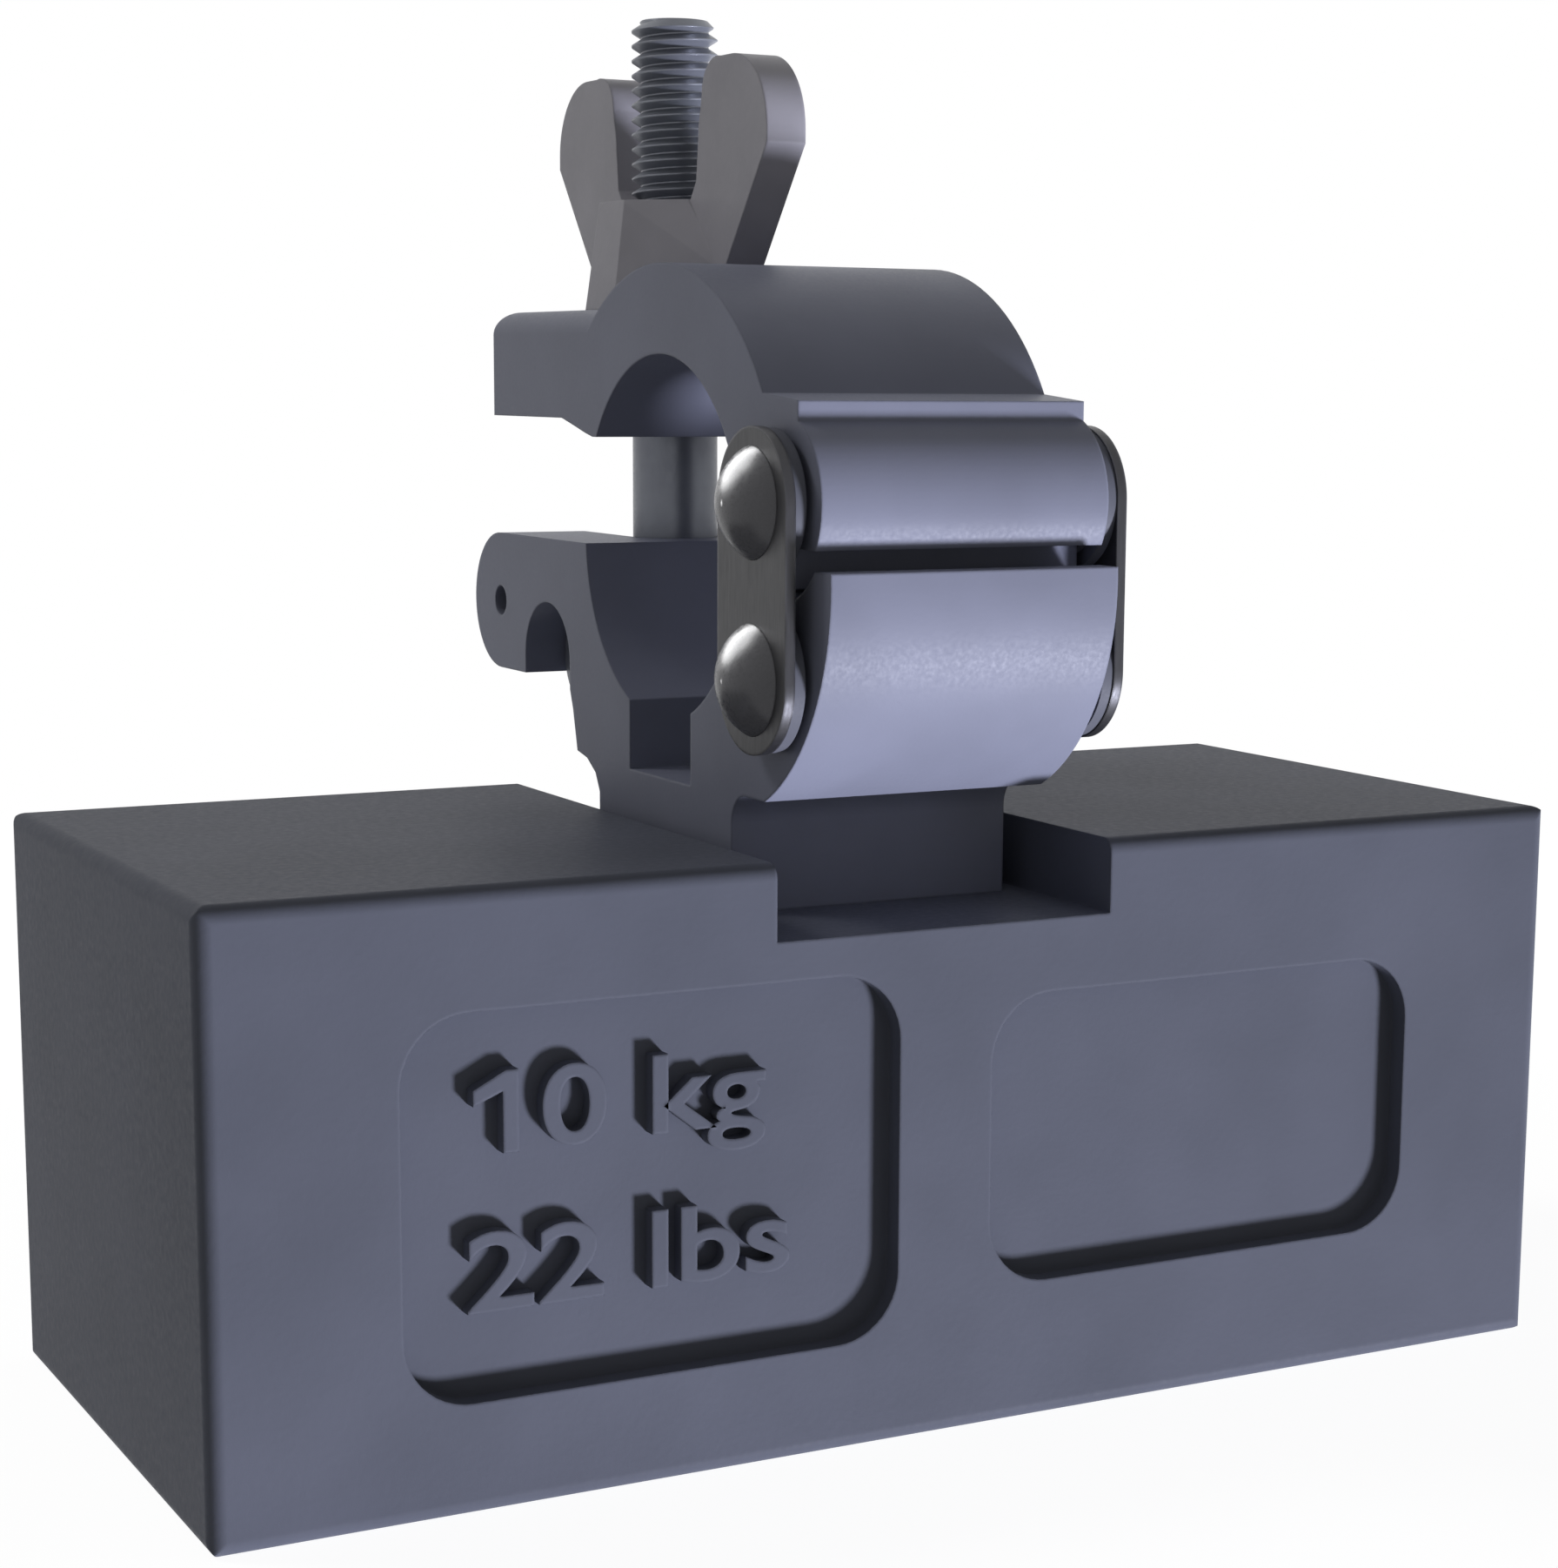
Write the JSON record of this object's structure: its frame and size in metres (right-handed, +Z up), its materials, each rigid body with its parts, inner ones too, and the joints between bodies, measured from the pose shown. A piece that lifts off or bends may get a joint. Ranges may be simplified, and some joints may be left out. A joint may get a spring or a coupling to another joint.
{
  "type": "stage ballast weight with half coupler",
  "caption": "Rectangular cast iron ballast bar with a hinged half coupler bolted into a notch in its top, closed by a swing bolt and wing nut.",
  "frame": {"origin": "on the centre line of the gripped tube, half way across the coupler", "axes": "+X along the tube and the bar, +Y to the swing bolt, +Z up"},
  "size_m": [0.2, 0.1256, 0.1905],
  "materials": {
    "bar_paint": "grey-blue paint on cast iron, satin",
    "casting": "satin grey coat on an aluminium casting",
    "link_steel": "dark plated steel strip",
    "pin_steel": "dark polished steel",
    "spacer_alloy": "turned alloy",
    "bolt_steel": "dark oiled steel",
    "nut_iron": "grey cast iron, matt",
    "spring_steel": "blackened spring steel",
    "zinc_steel": "bright zinc plate",
    "ring_nylon": "blue nylon"
  },
  "bodies": {
    "weight": {"block": "bar_paint", "base_body": "casting", "stop_pin": "spring_steel", "mounting_bolt": "zinc_steel", "mounting_washer": "zinc_steel", "mounting_nut": "zinc_steel", "nut_ring": "ring_nylon"},
    "links": {"link_left": "link_steel", "link_right": "link_steel", "jaw_pin": "pin_steel", "base_pin": "pin_steel", "spacer_upper_left": "spacer_alloy", "spacer_upper_right": "spacer_alloy", "spacer_lower_left": "spacer_alloy", "spacer_lower_right": "spacer_alloy"},
    "upper_jaw": {"jaw": "casting"},
    "bolt": {"swing_bolt": "bolt_steel"},
    "washer": {"wing_washer": "zinc_steel"},
    "nut": {"wing_nut": "nut_iron"}
  },
  "joints": [
    {"name": "link_tilt", "type": "hinge", "parent": "weight", "child": "links", "pos_m": [0, -0.036, -0.0159], "axis": [1, 0, 0], "range_deg": [0, 3.01]},
    {"name": "jaw_open", "type": "hinge", "parent": "links", "child": "upper_jaw", "pos_m": [0, -0.036, 0.0064], "axis": [1, 0, 0], "range_deg": [0, 11.01]},
    {"name": "bolt_swing", "type": "hinge", "parent": "weight", "child": "bolt", "pos_m": [0, 0.0395, -0.0196], "axis": [-1, 0, 0], "range_deg": [0, 40]},
    {"name": "nut_lift", "type": "slide", "parent": "bolt", "child": "washer", "axis": [0, 0, 1], "range_m": [0, 0.0223]},
    {"name": "nut_spin", "type": "hinge", "parent": "washer", "child": "nut", "pos_m": [0, 0.0395, 0.032], "axis": [0, 0, 1], "range_deg": [0, 3780]}
  ],
  "couplings": [
    {"joint": "nut_lift", "follows": "nut_spin", "m_per_rad": 0.00033693},
    {"joint": "link_tilt", "follows": "nut_spin", "ratio": 0.00079365},
    {"joint": "jaw_open", "follows": "nut_spin", "ratio": 0.00291}
  ]
}
